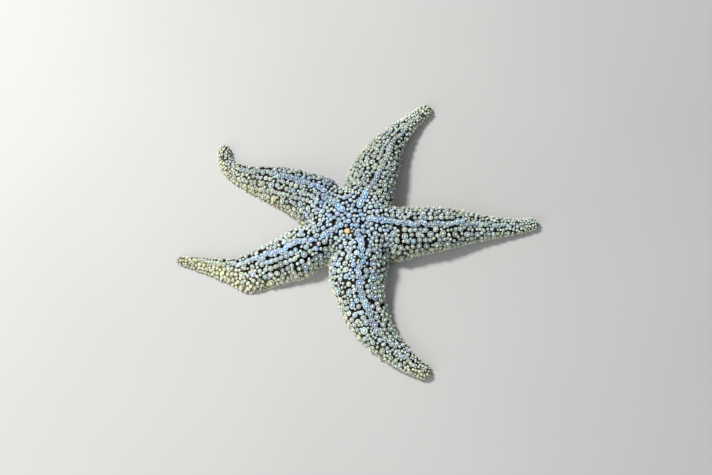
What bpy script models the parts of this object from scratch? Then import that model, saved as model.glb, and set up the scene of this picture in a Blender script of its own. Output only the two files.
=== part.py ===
"""Giant-spined sea star, Pisaster giganteus, at life size.

The upper side is a grid of low spines: on the disc the grid is made of five kites, one between each pair of
neighbouring arms, and each arm carries the same columns on to its tip. Underneath, a groove with tube feet runs
along every arm to the mouth. The animal lies on flats at z = 0 on both sides of each groove. Metres, +Z up.
"""

import math

import bmesh
import bpy
from mathutils import Matrix, Vector

# Driving dimensions. Bearings and headings are in degrees, counter-clockwise from +X, seen from above.
ARM_COUNT = 5
FIRST_ARM_BEARING = -4.0
DISC_APOTHEM = 0.0302  # from the disc's centre to the plane where an arm begins
DISC_HEIGHT = 0.0285
ROOT_HEIGHT = 0.0270  # crest of an arm where it leaves the disc
ROOT_HALF_WIDTH = 0.0243
SPINE_LENGTH = 0.0024
SPINE_SHARE = 0.28  # a spine is never longer than this share of the arm's half width
CREST_ABOVE_WIDTH = 0.0020
JOINT_GAP = 0.0003

# How far the disc's top lies to +X and +Y of its foot, for each metre of height.
DISC_LEAN = Vector((0.063, 0.140))

# Each arm, counter-clockwise from the one that points along +X. Headings are at its root, third, two thirds
# and tip, half widths at its third, two thirds and tip. Rise is height over half width. Leans say how far the
# crest lies to the right of the middle, seen from the disc, for each metre of height, at the root, quarters
# and tip.
ARMS = (
    dict(
        length=0.1293, headings=(20, 6, 1, 14), widths=(0.0217, 0.0124, 0.0064), rise=1.00,
        leans=(-0.12, 0.19, 0.21, 0.19, 0.20),
    ),
    dict(
        length=0.1226, headings=(101, 68, 50, 38), widths=(0.0201, 0.0124, 0.0070), rise=0.99,
        leans=(0.04, 0.50, 0.52, 0.46, 0.30),
    ),
    dict(
        length=0.1234, headings=(132, 159, 152, 76), widths=(0.0185, 0.0101, 0.0062), rise=0.94,
        leans=(0.39, 0.40, 0.60, 0.62, 0.46),
    ),
    dict(
        length=0.1281, headings=(183, 208, 163, 169), widths=(0.0184, 0.0100, 0.0036), rise=0.99,
        leans=(0.20, 0.20, 0.60, 0.55, 0.25),
    ),
    dict(
        length=0.1195, headings=(248, 289, 313, 336), widths=(0.0203, 0.0136, 0.0080), rise=0.93,
        leans=(0.02, -0.04, 0.08, 0.12, 0.28),
    ),
)
TURN_SHARE = 0.08  # share of an arm over which its course turns from the disc's own bearing
FACING_SHARE = 0.25  # share over which its sections turn with it
RISE_SHARE = 0.25
LEAN_SHARE = 0.10  # share over which the disc's lean gives way to the arm's own
CAP_SHARE = 0.055  # rounded end of an arm
CAP_MIDDLE_SHARE = 0.4  # height of the middle of that end

# Bends of that plan. At each place, seen from the disc's centre, all levels move sideways by this much, and less
# and less up to this reach.
BENDS = (
    dict(place=Vector((-0.0150, -0.0385)), move=Vector((-0.0048, 0.0082)), reach=0.024),
    dict(place=Vector((-0.0858, -0.0521)), move=Vector((0.0, -0.0037)), reach=0.018),
    dict(place=Vector((0.0418, -0.0241)), move=Vector((0.0, -0.0026)), reach=0.018),
)

# The section of an arm, as shares of its half width and height.
WIDEST_SHARE = 0.22  # height of the widest place
CREST_POWER = 0.85
MARGIN_SHARE = 0.88
GROOVE_WIDTH_SHARE = 0.28
GROOVE_TOP_SHARE = 0.75
GROOVE_HEIGHT_SHARE = 0.30

# Counts of rows.
UPPER_ROWS = 7  # from the crest down to the widest place, on each side
INNER_STATIONS = 12
OUTER_STATIONS = 12
CAP_STATIONS = 3
STATION_GROWTH = 0.25  # stations are this much further apart at the root than on average
COURSE_STEPS = 240

# Small parts.
MADREPORITE_RADIUS = 0.0023
MADREPORITE_HEIGHT = 0.0014
MADREPORITE_ROUNDING = 0.6
MADREPORITE_SIDES = 20
MADREPORITE_BEVELS = 3
MADREPORITE_KITE = 3  # between the fourth and the fifth arm
MADREPORITE_ROW = 2
MOUTH_RADIUS = 0.0040
MOUTH_LIP = 0.0021
MOUTH_SIDES = 20
MOUTH_LIP_SIDES = 8
FEET_START = 0.0088  # from the disc's centre
FEET_END = 0.86  # share of the arm
FEET_STATIONS = 22
FEET_SIDE_GAP = 0.00035
FEET_BED_SHARE = 0.35
FEET_CLEARANCE = 0.0006

SECTOR = math.tau / ARM_COUNT
ROUND_PROFILE = 0.5  # a bevel's profile that is an arc


def ease(x):
    """0 to 1 with level ends."""
    x = min(max(x, 0.0), 1.0)
    return x * x * (3 - 2 * x)


def along(values, share):
    """Reads evenly spaced values on a smooth curve through them."""
    spans = len(values) - 1
    before = 2 * values[0] - values[1]
    after = 2 * values[-1] - values[-2]
    points = [before, *values, after]
    place = min(max(share, 0.0), 1.0) * spans
    span = min(int(place), spans - 1)
    f = place - span
    a, b, c, d = points[span : span + 4]
    return 0.5 * (2 * b + (c - a) * f + (2 * a - 5 * b + 4 * c - d) * f**2 + (3 * b - a - 3 * c + d) * f**3)


def bearing(index):
    return math.radians(FIRST_ARM_BEARING) + SECTOR * index


def compass(angle, distance=1.0):
    return Vector((math.cos(angle) * distance, math.sin(angle) * distance))


def bend(spot):
    """Moves a spot of the plan by the bends round it."""
    moved = spot.copy()
    for one in BENDS:
        apart = (spot - one["place"]).length / one["reach"]
        moved += one["move"] * max(1 - apart**2, 0.0) ** 2
    return moved


class Arm:
    """The course, width and height of one arm, by share of its length."""

    def __init__(self, index):
        self.shape = ARMS[index]
        self.base = bearing(index)
        self.length = self.shape["length"]
        self.course = [compass(self.base, DISC_APOTHEM)]
        for step in range(COURSE_STEPS):
            heading = self.heading((step + 0.5) / COURSE_STEPS)
            self.course.append(self.course[-1] + compass(heading, self.length / COURSE_STEPS))

    def heading(self, share, turn_share=TURN_SHARE):
        wanted = math.radians(along(self.shape["headings"], share))
        turn = (wanted - self.base + math.pi) % math.tau - math.pi
        return self.base + turn * ease(share / turn_share)

    def middle(self, share):
        if share < 0:
            return compass(self.base, DISC_APOTHEM + share * self.length)
        place = min(share * COURSE_STEPS, COURSE_STEPS - 1e-6)
        step = int(place)
        return self.course[step].lerp(self.course[step + 1], place - step)

    def spine(self, share):
        return min(SPINE_LENGTH, SPINE_SHARE * self.full_half_width(share))

    def full_half_width(self, share):
        return along((ROOT_HALF_WIDTH, *self.shape["widths"]), share)

    def half_width(self, share):
        """Half width of the body without its spines."""
        return self.full_half_width(share) - self.spine(share)

    def height(self, share):
        blend = ease(share / RISE_SHARE)
        rise = self.shape["rise"] * self.full_half_width(share) + CREST_ABOVE_WIDTH
        return ROOT_HEIGHT + (rise - ROOT_HEIGHT) * blend - self.spine(share)

    def place(self, share, across, up):
        """The point that lies this far to the left of the middle line and this high."""
        facing = self.heading(share, FACING_SHARE)
        settled = ease(share / LEAN_SHARE)
        across -= along(self.shape["leans"], share) * up * settled
        spot = self.middle(share) + compass(facing + math.pi / 2, across) + DISC_LEAN * (up * (1 - settled))
        return Vector((*bend(spot), up))


def half_section(half_width, height):
    """Points (across, up) from the crest round one side to the middle of the groove's roof."""
    widest = WIDEST_SHARE * height
    points = []
    for row in range(UPPER_ROWS + 1):
        angle = math.pi / 2 * row / UPPER_ROWS
        rise = max(math.cos(angle), 0.0) ** CREST_POWER
        points.append((half_width * math.sin(angle), widest + (height - widest) * rise))
    bulge = (1 - MARGIN_SHARE) * half_width
    half_way = math.sin(math.pi / 4)
    points.append((half_width - bulge * (1 - half_way), widest * (1 - half_way)))
    points.append((MARGIN_SHARE * half_width, 0.0))
    lip = GROOVE_WIDTH_SHARE * half_width
    roof = GROOVE_HEIGHT_SHARE * height
    points.append((lip, 0.0))
    points.append((GROOVE_TOP_SHARE * lip, roof))
    points.append((0.0, roof))
    return points


def full_section(half_width, height):
    """The closed section: down the left side, along the groove's roof and up the right side."""
    left = half_section(half_width, height)
    right = [(-across, up) for across, up in left[-2:0:-1]]
    return left + right


def disc_section():
    """The section of the disc's side where an arm begins."""
    return full_section(DISC_APOTHEM * math.tan(SECTOR / 2), ROOT_HEIGHT - SPINE_LENGTH)


def skin_grid(form, rows, spined):
    """Covers a grid of points with triangles, whose edges run between the low points of the spine pattern.

    spined(row, column) says which points stand out as the tips of spines.
    """
    for low, high in zip(range(len(rows) - 1), range(1, len(rows))):
        for left, right in zip(range(len(rows[0]) - 1), range(1, len(rows[0]))):
            a, b, c, d = rows[low][left], rows[high][left], rows[high][right], rows[low][right]
            halves = ((a, b, d), (b, c, d)) if spined(low, left) else ((a, b, c), (a, c, d))
            for half in halves:
                form.faces.new(half)


def close_wall(form, ring):
    """Closes a section with triangles: rungs across it down to above the groove, and a fan on each side of that."""
    lowest, roof = UPPER_ROWS - 1, len(ring) // 2
    form.faces.new((ring[0], ring[1], ring[-1]))
    for row in range(1, lowest):
        form.faces.new((ring[row], ring[row + 1], ring[-row - 1]))
        form.faces.new((ring[row], ring[-row - 1], ring[-row]))
    form.faces.new((ring[lowest], ring[roof], ring[-lowest]))
    for side in (1, -1):
        corner = ring[side * (roof - 1)]
        form.faces.new((ring[side * lowest], corner, ring[roof]))
        for row in range(lowest, roof - 2):
            form.faces.new((corner, ring[side * row], ring[side * (row + 1)]))


def raise_spines(form, spines):
    """Moves each listed point out along its normal by its length, all of them from the same smooth body."""
    bmesh.ops.recalc_face_normals(form, faces=form.faces)
    form.normal_update()
    for point, length in spines:
        point.co += point.normal * length


def finish(name, form, material, collection):
    """Makes the object from its closed form."""
    bmesh.ops.recalc_face_normals(form, faces=form.faces)
    mesh = bpy.data.meshes.new(name)
    form.to_mesh(mesh)
    form.free()
    mesh.materials.append(material)
    made = bpy.data.objects.new(name, mesh)
    collection.objects.link(made)
    return made


def cap_sections(arm, start):
    """Sections that close the arm like the end of an egg, from this share of its length on."""
    middle = CAP_MIDDLE_SHARE * arm.height(start)
    sections = []
    for station in range(1, CAP_STATIONS + 1):
        angle = math.pi / 2 * station / (CAP_STATIONS + 1)
        shrink = math.cos(angle)
        ring = full_section(arm.half_width(start), arm.height(start))
        ring = [(across * shrink, middle + (up - middle) * shrink) for across, up in ring]
        sections.append((start + (1 - start) * math.sin(angle), ring))
    return sections, arm.place(1.0, 0.0, middle)


def make_arm_length(name, arm, shares, first_station, material, collection, tip=False):
    """One length of an arm, between the first and the last of the shares."""
    form = bmesh.new()
    sections = [(share, full_section(arm.half_width(share), arm.height(share))) for share in shares]
    if tip:
        cap, end = cap_sections(arm, shares[-1])
        sections += cap
    rows = [[form.verts.new(arm.place(share, across, up)) for across, up in ring] for share, ring in sections]
    columns = len(rows[0])

    def spined(row, column):
        return (row + first_station + column) % 2 == 1

    skin_grid(form, [[*row, row[0]] for row in rows], spined)
    close_wall(form, rows[0])
    if tip:
        point = form.verts.new(end)
        for column in range(columns):
            form.faces.new((rows[-1][column], rows[-1][(column + 1) % columns], point))
    else:
        close_wall(form, rows[-1])
    spines = []
    for row in range(1, len(rows) if tip else len(rows) - 1):
        for column in range(columns):
            from_crest = min(column, columns - column)
            if from_crest <= UPPER_ROWS and spined(row, column):
                spines.append((rows[row][column], arm.spine(sections[row][0])))
    raise_spines(form, spines)
    return finish(name, form, material, collection)


def station_shares():
    """Shares of an arm's length at which its sections stand, up to its rounded end."""
    count = INNER_STATIONS + OUTER_STATIONS
    shares = []
    for station in range(count + 1):
        u = station / count
        shares.append((1 - CAP_SHARE) * u * (1 + STATION_GROWTH * (1 - u)))
    return shares


def make_arm(index, arm, material, collection):
    """An arm in two lengths, which meet at the middle station."""
    shares = station_shares()
    gap = JOINT_GAP / arm.length
    inner = shares[: INNER_STATIONS + 1]
    outer = shares[INNER_STATIONS:]
    inner[0] += gap
    inner[-1] -= gap / 2
    outer[0] += gap / 2
    make_arm_length(f"arm_{index + 1}_inner", arm, inner, 0, material, collection)
    make_arm_length(f"arm_{index + 1}_outer", arm, outer, INNER_STATIONS, material, collection, tip=True)


def disc_point(spot, up):
    """The point of the leaning disc over this spot of its foot, this high."""
    return Vector((*bend(spot + DISC_LEAN * up), up))


def root_spot(index, across):
    """A spot of the plan on the line where the arm begins."""
    return compass(bearing(index), DISC_APOTHEM) + compass(bearing(index) + math.pi / 2, across)


def root_point(index, across, up):
    """A point of the disc's side where the arm begins."""
    return disc_point(root_spot(index, across), up)


def crest_point(index, share):
    """A point of the crest from the disc's centre to the arm's root."""
    top = DISC_HEIGHT - SPINE_LENGTH
    root = ROOT_HEIGHT - SPINE_LENGTH
    return disc_point(compass(bearing(index), DISC_APOTHEM * share), top + (root - top) * share**2)


def upper_kite(index):
    """Rows of points over the disc between two arms: a patch filled in from its four edges."""
    section = disc_section()[: UPPER_ROWS + 1]  # from the crest to the widest place
    near = [crest_point(index, row / UPPER_ROWS) for row in range(UPPER_ROWS + 1)]
    far = [crest_point(index + 1, row / UPPER_ROWS) for row in range(UPPER_ROWS + 1)]
    near_side = [root_point(index, across, up) for across, up in section]
    far_side = [root_point(index + 1, -across, up) for across, up in section]
    centre, corner = near[0], near_side[-1]
    rows = []
    for i in range(UPPER_ROWS + 1):
        a = i / UPPER_ROWS
        row = []
        for j in range(UPPER_ROWS + 1):
            b = j / UPPER_ROWS
            edges = (1 - b) * near[i] + b * far_side[i] + (1 - a) * far[j] + a * near_side[j]
            corners = (1 - a) * (1 - b) * centre + a * (1 - b) * near[-1]
            corners += (1 - a) * b * far[-1] + a * b * corner
            row.append(edges - corners)
        rows.append(row)
    return rows


def crossing(p, q, r, s):
    """Where the line through p and q crosses the line through r and s."""
    d, e, f = q - p, s - r, r - p
    return p + d * ((f.x * e.y - f.y * e.x) / (d.x * e.y - d.y * e.x))


def lower_kite(index):
    """Rows of points under the disc between two arms, from the groove's roof out to the widest place."""
    whole = disc_section()
    profile = whole[UPPER_ROWS : len(whole) // 2 + 1][::-1]
    last = len(profile) - 1
    starts = [across / math.sin(SECTOR) for across, up in profile]
    starts[last] = DISC_APOTHEM
    rows = []
    for i in range(last + 1):
        row = []
        row_start = compass(bearing(index), starts[i])
        row_end = root_spot(index + 1, -profile[i][0])
        for j in range(last + 1):
            column_start = compass(bearing(index + 1), starts[j])
            column_end = root_spot(index, profile[j][0])
            spot = crossing(row_start, row_end, column_start, column_end)
            row.append(disc_point(spot, profile[min(i, j)][1]))
        rows.append(row)
    return rows


def nearest(form, spot):
    return min(form.verts, key=lambda point: (point.co - spot).length_squared)


def make_disc(material, collection):
    """The disc: five kites above, five below, and a flat wall where each arm begins."""
    form = bmesh.new()
    tips = [crest_point(0, 0)]
    for index in range(ARM_COUNT):
        upper = upper_kite(index)
        rows = [[form.verts.new(point) for point in row] for row in upper]
        skin_grid(form, rows, lambda row, column: (row + column) % 2 == 0)
        lower = [[form.verts.new(point) for point in row] for row in lower_kite(index)]
        skin_grid(form, lower, lambda row, column: row < column)
        for i in range(UPPER_ROWS):
            for j in range(1, UPPER_ROWS):
                bare = index == MADREPORITE_KITE and i == j == MADREPORITE_ROW
                if (i + j) % 2 == 0 and not bare:
                    tips.append(upper[i][j])
    bmesh.ops.remove_doubles(form, verts=form.verts, dist=1e-6)
    for index in range(ARM_COUNT):
        close_wall(form, [nearest(form, root_point(index, across, up)) for across, up in disc_section()])
    raise_spines(form, [(nearest(form, tip), SPINE_LENGTH) for tip in tips])
    return finish("disc", form, material, collection)


def make_madreporite(material, collection):
    """A small plate that lies on the disc between two arms."""
    grid = upper_kite(MADREPORITE_KITE)
    row = MADREPORITE_ROW
    seat = grid[row][row]
    outward = grid[row + 1][row] - grid[row - 1][row]
    onward = grid[row][row + 1] - grid[row][row - 1]
    normal = outward.cross(onward).normalized()
    form = bmesh.new()
    bmesh.ops.create_cone(
        form,
        cap_ends=True,
        segments=MADREPORITE_SIDES,
        radius1=MADREPORITE_RADIUS,
        radius2=MADREPORITE_RADIUS,
        depth=MADREPORITE_HEIGHT,
    )
    rim = [edge for edge in form.edges if all(point.co.z > 0 for point in edge.verts)]
    rounding = MADREPORITE_ROUNDING * MADREPORITE_HEIGHT
    bmesh.ops.bevel(
        form, geom=rim, offset=rounding, segments=MADREPORITE_BEVELS, profile=ROUND_PROFILE, affect="EDGES"
    )
    centre = seat + normal * (JOINT_GAP + MADREPORITE_HEIGHT / 2)
    turn = Vector((0, 0, 1)).rotation_difference(normal).to_matrix().to_4x4()
    bmesh.ops.transform(form, matrix=Matrix.Translation(centre) @ turn, verts=form.verts)
    return finish("madreporite", form, material, collection)


def make_mouth(material, collection):
    """The soft lip round the mouth, under the middle of the disc."""
    roof = GROOVE_HEIGHT_SHARE * (ROOT_HEIGHT - SPINE_LENGTH)
    bpy.ops.mesh.primitive_torus_add(
        major_segments=MOUTH_SIDES,
        minor_segments=MOUTH_LIP_SIDES,
        major_radius=MOUTH_RADIUS,
        minor_radius=MOUTH_LIP,
        location=(0, 0, roof - JOINT_GAP - MOUTH_LIP),
    )
    mouth = bpy.context.active_object
    mouth.name = "mouth"
    mouth.data.name = "mouth"
    mouth.data.materials.append(material)
    for holder in list(mouth.users_collection):
        holder.objects.unlink(mouth)
    collection.objects.link(mouth)
    return mouth


def make_tube_feet(index, arm, material, collection):
    """The two rows of tube feet in an arm's groove, on one soft bed along its roof."""
    form = bmesh.new()
    rows = []
    feet = []
    start = (FEET_START - DISC_APOTHEM) / arm.length
    for station in range(FEET_STATIONS + 1):
        share = start + (FEET_END - start) * station / FEET_STATIONS
        body = max(share, 0.0)
        roof = GROOVE_HEIGHT_SHARE * arm.height(body)
        side = GROOVE_TOP_SHARE * GROOVE_WIDTH_SHARE * arm.half_width(body) - FEET_SIDE_GAP
        top = roof - JOINT_GAP
        bed = top - FEET_BED_SHARE * roof
        left = [(side, top), (side, bed), (side / 2, bed)]
        ring = [*left, (0.0, bed), *((-across, up) for across, up in reversed(left))]
        rows.append([form.verts.new(arm.place(share, across, up)) for across, up in ring])
        if 0 < station < FEET_STATIONS and station % 2:
            feet += [rows[-1][2], rows[-1][4]]
    skin_grid(form, [[*row, row[0]] for row in rows], lambda row, column: (row + column) % 2 == 1)
    form.faces.new(rows[0])
    form.faces.new(rows[-1])
    for foot in feet:
        foot.co.z = FEET_CLEARANCE
    return finish(f"tube_feet_{index + 1}", form, material, collection)


def make_material(name, colour, roughness):
    material = bpy.data.materials.new(name)
    material.use_nodes = True
    shader = material.node_tree.nodes["Principled BSDF"]
    shader.inputs["Base Color"].default_value = (*colour, 1)
    shader.inputs["Roughness"].default_value = roughness
    shader.inputs["Metallic"].default_value = 0
    material.diffuse_color = (*colour, 1)
    return material


def centre_over_floor(parts):
    """Moves all the parts so that the middle of their common box, at its foot, is the origin."""
    corners = [point.co for part in parts if part.name.startswith("arm_") for point in part.data.vertices]
    middle_x = (min(c.x for c in corners) + max(c.x for c in corners)) / 2
    middle_y = (min(c.y for c in corners) + max(c.y for c in corners)) / 2
    for part in parts:
        part.location -= Vector((middle_x, middle_y, 0))


def main():
    for old in list(bpy.data.objects):
        bpy.data.objects.remove(old, do_unlink=True)
    collection = bpy.data.collections.new("starfish")
    bpy.context.scene.collection.children.link(collection)
    skin = make_material("spiny_skin", (0.33, 0.39, 0.46), 0.45)
    plate = make_material("madreporite_plate", (0.62, 0.44, 0.25), 0.5)
    lip = make_material("mouth_lip", (0.58, 0.47, 0.38), 0.4)
    feet = make_material("tube_feet", (0.68, 0.58, 0.42), 0.35)
    make_disc(skin, collection)
    make_madreporite(plate, collection)
    make_mouth(lip, collection)
    for index in range(ARM_COUNT):
        arm = Arm(index)
        make_arm(index, arm, skin, collection)
        make_tube_feet(index, arm, feet, collection)
    centre_over_floor(list(collection.objects))


main()
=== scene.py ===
"""Finish of a giant-spined sea star, Pisaster giganteus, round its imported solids. Metres, +Z up.

One dark, wet skin replaces the disc and the arms. Spines in blue wreaths stand on it in rows, with beads and
specks between them. Small pale spines fringe the margins and the grooves, and tube feet fill the grooves.
"""

import math
from collections import namedtuple

import bmesh
import bpy
import numpy as np
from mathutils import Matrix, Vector
from mathutils.bvhtree import BVHTree


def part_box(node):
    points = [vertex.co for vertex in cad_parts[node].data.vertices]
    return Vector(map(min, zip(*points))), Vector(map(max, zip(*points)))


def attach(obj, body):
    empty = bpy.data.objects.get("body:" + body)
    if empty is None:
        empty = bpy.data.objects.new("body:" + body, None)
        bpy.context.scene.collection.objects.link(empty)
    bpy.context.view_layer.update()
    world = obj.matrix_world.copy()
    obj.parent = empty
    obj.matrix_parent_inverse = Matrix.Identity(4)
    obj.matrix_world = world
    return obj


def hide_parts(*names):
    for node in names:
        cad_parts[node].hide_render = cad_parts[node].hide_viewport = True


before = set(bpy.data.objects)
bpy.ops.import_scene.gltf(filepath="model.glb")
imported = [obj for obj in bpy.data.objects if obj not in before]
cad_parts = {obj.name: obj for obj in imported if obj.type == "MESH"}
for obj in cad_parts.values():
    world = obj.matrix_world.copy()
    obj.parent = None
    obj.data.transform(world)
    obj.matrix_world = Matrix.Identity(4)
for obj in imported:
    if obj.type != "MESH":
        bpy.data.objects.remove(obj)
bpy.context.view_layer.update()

# The body's own sizes, the same as in the solids.
ARM_COUNT = 5
FIRST_ARM_BEARING = math.radians(-4)
SECTOR = math.tau / ARM_COUNT
DISC_APOTHEM = 0.0302
DISC_HEIGHT = 0.0285
ROOT_HEIGHT = 0.0270
SPINE_LENGTH = 0.0024
ROOT_HALF_WIDTH = DISC_APOTHEM * math.tan(SECTOR / 2) + SPINE_LENGTH
SPINE_SHARE = 0.28  # the longest a spine gets, as a share of the arm's half width
CREST_ABOVE_WIDTH = 0.0020
DISC_REACH = 0.2  # reach runs from 0 at the disc's centre to this at an arm's root and 1 at its tip
DISC_LEAN = np.array([0.063, 0.140])  # how far the disc's top lies off its foot, for each metre of height
ARMS = (  # length, rise, headings, half widths, leans of the crest
    (0.1293, 1.00, (20, 6, 1, 14), (0.0217, 0.0124, 0.0064), (-0.12, 0.19, 0.21, 0.19, 0.20)),
    (0.1226, 0.99, (101, 68, 50, 38), (0.0201, 0.0124, 0.0070), (0.04, 0.50, 0.52, 0.46, 0.30)),
    (0.1234, 0.94, (132, 159, 152, 76), (0.0185, 0.0101, 0.0062), (0.39, 0.40, 0.60, 0.62, 0.46)),
    (0.1281, 0.99, (183, 208, 163, 169), (0.0184, 0.0100, 0.0036), (0.20, 0.20, 0.60, 0.55, 0.25)),
    (0.1195, 0.93, (248, 289, 313, 336), (0.0203, 0.0136, 0.0080), (0.02, -0.04, 0.08, 0.12, 0.28)),
)

# Shares of an arm's length. Over the first four, from its root, it turns to its course, its sections turn
# with it, it comes to its own height, and its crest to its lean. Its rounded end takes up the last.
TURN_SHARE, FACING_SHARE, RISE_SHARE, LEAN_SHARE, CAP_SHARE = 0.08, 0.25, 0.25, 0.10, 0.055

# Shares of an arm's height: the middle of its rounded end, its widest place, and its groove.
CAP_MIDDLE_SHARE, WIDEST_SHARE, GROOVE_HEIGHT_SHARE = 0.4, 0.22, 0.30

# Shares of an arm's half width: where its margin turns under, and its groove. The third is the width of the
# groove's roof as a share of the groove.
MARGIN_SHARE, GROOVE_WIDTH_SHARE, GROOVE_TOP_SHARE = 0.88, 0.28, 0.75
CREST_POWER = 0.85
FLAT_RIDGE, ROOF_RIDGE = 1.25, 2.6  # ridge numbers where the flats and the groove's roof begin
COURSE_STEPS = 240
BENDS = (  # of the plan: where, how far it moves there, and out to what radius
    dict(place=(-0.0150, -0.0385), move=(-0.0048, 0.0082), reach=0.024),
    dict(place=(-0.0858, -0.0521), move=(0.0, -0.0037), reach=0.018),
    dict(place=(0.0418, -0.0241), move=(0.0, -0.0026), reach=0.018),
)

# How finely the skin is divided.
ARM_STATIONS = 116
CAP_STATIONS = 9
ARCH_STEPS = 24
UNDER_STEPS = 5
FLAT_STEPS = 7
WALL_STEPS = 4
ROOF_STEPS = 3
SMOOTHINGS, SMOOTHING = 8, (0.5, -0.53)  # how often, and how far in and back out each time
SKIN_DEPTH = 0.0004  # below the spines' feet on the solids
UNDER_DEPTH = 0.0013  # on the underside, where short spines reach down to the floor
RIPPLE_DEPTH, RIPPLE_LENGTH = 0.00022, 0.006

# The skin's tiles on the flat map.
ARM_TILE = (0.46, 0.155)  # the length and half the width of an arm's
DISC_TILE, DISC_TILE_STEP = 0.09, 0.099

FIELDS = ("ridge", "reach", "coat", "arm")  # numbers that each point of the skin carries

chance = np.random.default_rng(1848)
low_corner, high_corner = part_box("mouth")
CENTRE = np.array(((low_corner + high_corner) / 2)[:2])


def ease(x, start=0, span=1):
    """0 to 1 with level ends, from this start on and over this span."""
    x = np.clip((x - start) / span, 0, 1)
    return x * x * (3 - 2 * x)


def along(values, share):
    """Reads evenly spaced values on a smooth curve through them."""
    points = np.array([2 * values[0] - values[1], *values, 2 * values[-1] - values[-2]])
    spans = len(values) - 1
    place = np.clip(share, 0, 1) * spans
    span = np.minimum(place.astype(int), spans - 1)
    f = place - span
    a, b, c, d = (points[span + k] for k in range(4))
    return 0.5 * (2 * b + (c - a) * f + (2 * a - 5 * b + 4 * c - d) * f**2 + (3 * b - a - 3 * c + d) * f**3)


def reach_of(share):
    """The reach at a share of an arm's length."""
    return DISC_REACH + (1 - DISC_REACH) * share


def bearing(index):
    return FIRST_ARM_BEARING + SECTOR * index


def compass(angle):
    return np.stack([np.cos(angle), np.sin(angle)], -1)


def unit(vectors):
    return vectors / np.maximum(np.linalg.norm(vectors, axis=-1, keepdims=True), 1e-12)


def bend(spots):
    """Moves spots of the plan by the bends round them."""
    moved = spots
    for one in BENDS:
        apart = np.linalg.norm(spots - CENTRE - one["place"], axis=-1, keepdims=True) / one["reach"]
        moved = moved + np.maximum(1 - apart**2, 0) ** 2 * one["move"]
    return moved


class Arm:
    """The course, width and height of one arm, by share of its length."""

    def __init__(self, index):
        self.length, self.rise, self.headings, self.widths, self.leans = ARMS[index]
        self.base = bearing(index)
        middles = (np.arange(COURSE_STEPS) + 0.5) / COURSE_STEPS
        moves = compass(self.heading(middles, TURN_SHARE)) * self.length / COURSE_STEPS
        root = CENTRE + compass(self.base) * DISC_APOTHEM
        self.course = root + np.vstack([np.zeros((1, 2)), np.cumsum(moves, 0)])

    def heading(self, share, turn_share):
        wanted = np.radians(along(self.headings, share))
        turn = (wanted - self.base + math.pi) % math.tau - math.pi
        return self.base + turn * ease(share / turn_share)

    def middle(self, share):
        steps = np.linspace(0, 1, COURSE_STEPS + 1)
        spot = np.stack([np.interp(share, steps, self.course[:, k]) for k in (0, 1)], -1)
        return spot + compass(self.base) * (np.minimum(share, 0) * self.length)[..., None]

    def full_half_width(self, share):
        return along((ROOT_HALF_WIDTH, *self.widths), share)

    def spine(self, share):
        return np.minimum(SPINE_LENGTH, SPINE_SHARE * self.full_half_width(share))

    def half_width(self, share):
        return self.full_half_width(share) - self.spine(share)

    def height(self, share):
        rise = self.rise * self.full_half_width(share) + CREST_ABOVE_WIDTH
        return ROOT_HEIGHT + (rise - ROOT_HEIGHT) * ease(share / RISE_SHARE) - self.spine(share)

    def place(self, share, across, up):
        """The points that lie this far to the left of the middle line and this high."""
        settled = ease(share / LEAN_SHARE)
        across = across - along(self.leans, share) * up * settled
        side = compass(self.heading(share, FACING_SHARE) + math.pi / 2)
        spot = self.middle(share) + side * across[..., None] + DISC_LEAN * (up * (1 - settled))[..., None]
        return np.concatenate([bend(spot), up[..., None]], -1)


arms = [Arm(index) for index in range(ARM_COUNT)]


def arch(half_width, height, turn):
    """Across and up on the upper side, at a turn from 0 on the crest to 90 degrees where it is widest."""
    rise = np.maximum(np.cos(turn), 0) ** CREST_POWER
    return half_width * np.sin(turn), height * (WIDEST_SHARE + (1 - WIDEST_SHARE) * rise)


def half_section(half_width, height):
    """Across, up and ridge number of points from the crest round one side to the middle of the groove.

    The ridge number is 0 on the crest, 1 at the widest place, 2 at the groove's lip and 3 in its middle.
    """
    half_width, height = np.atleast_1d(half_width)[:, None], np.atleast_1d(height)[:, None]
    widest, bulge = WIDEST_SHARE * height, (1 - MARGIN_SHARE) * half_width
    lip, top = GROOVE_WIDTH_SHARE * half_width, GROOVE_HEIGHT_SHARE * height
    edge, inward = half_width - bulge, lip - half_width + bulge  # of the flat, and from there to the lip
    steps = np.linspace(0, 1, ARCH_STEPS + 1)
    under, flat, wall, roof = (
        np.linspace(0, 1, count + 1)[1:] for count in (UNDER_STEPS, FLAT_STEPS, WALL_STEPS, ROOF_STEPS)
    )
    turn = under * math.pi / 2
    rows = [
        (*arch(half_width, height, steps * math.pi / 2), steps),
        (half_width - bulge * (1 - np.cos(turn)), widest * (1 - np.sin(turn)), 1 + (FLAT_RIDGE - 1) * under),
        (edge + inward * flat, 0 * lip * flat, FLAT_RIDGE + (2 - FLAT_RIDGE) * flat),
        (lip * (1 - (1 - GROOVE_TOP_SHARE) * wall), top * wall, 2 + (ROOF_RIDGE - 2) * wall),
        (lip * GROOVE_TOP_SHARE * (1 - roof), top + 0 * roof, ROOF_RIDGE + (3 - ROOF_RIDGE) * roof),
    ]
    across, up = (np.concatenate([row[k] for row in rows], 1) for k in (0, 1))
    ridge = np.concatenate([row[2] for row in rows])
    return across, up, np.broadcast_to(ridge, across.shape)


def disc_point(spot, up):
    """Points of the leaning disc over these spots of its foot, this high."""
    up = np.asarray(up, float)[..., None]
    return np.concatenate([bend(spot + DISC_LEAN * up), up], -1)


def root_spot(index, across):
    """Spots of the plan on the line where the arm begins."""
    out, side = compass(bearing(index)), compass(bearing(index) + math.pi / 2)
    return CENTRE + out * DISC_APOTHEM + side * np.asarray(across)[..., None]


def root_point(index, across, up):
    """Points of the disc's side where the arm begins."""
    return disc_point(root_spot(index, across), up)


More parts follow.
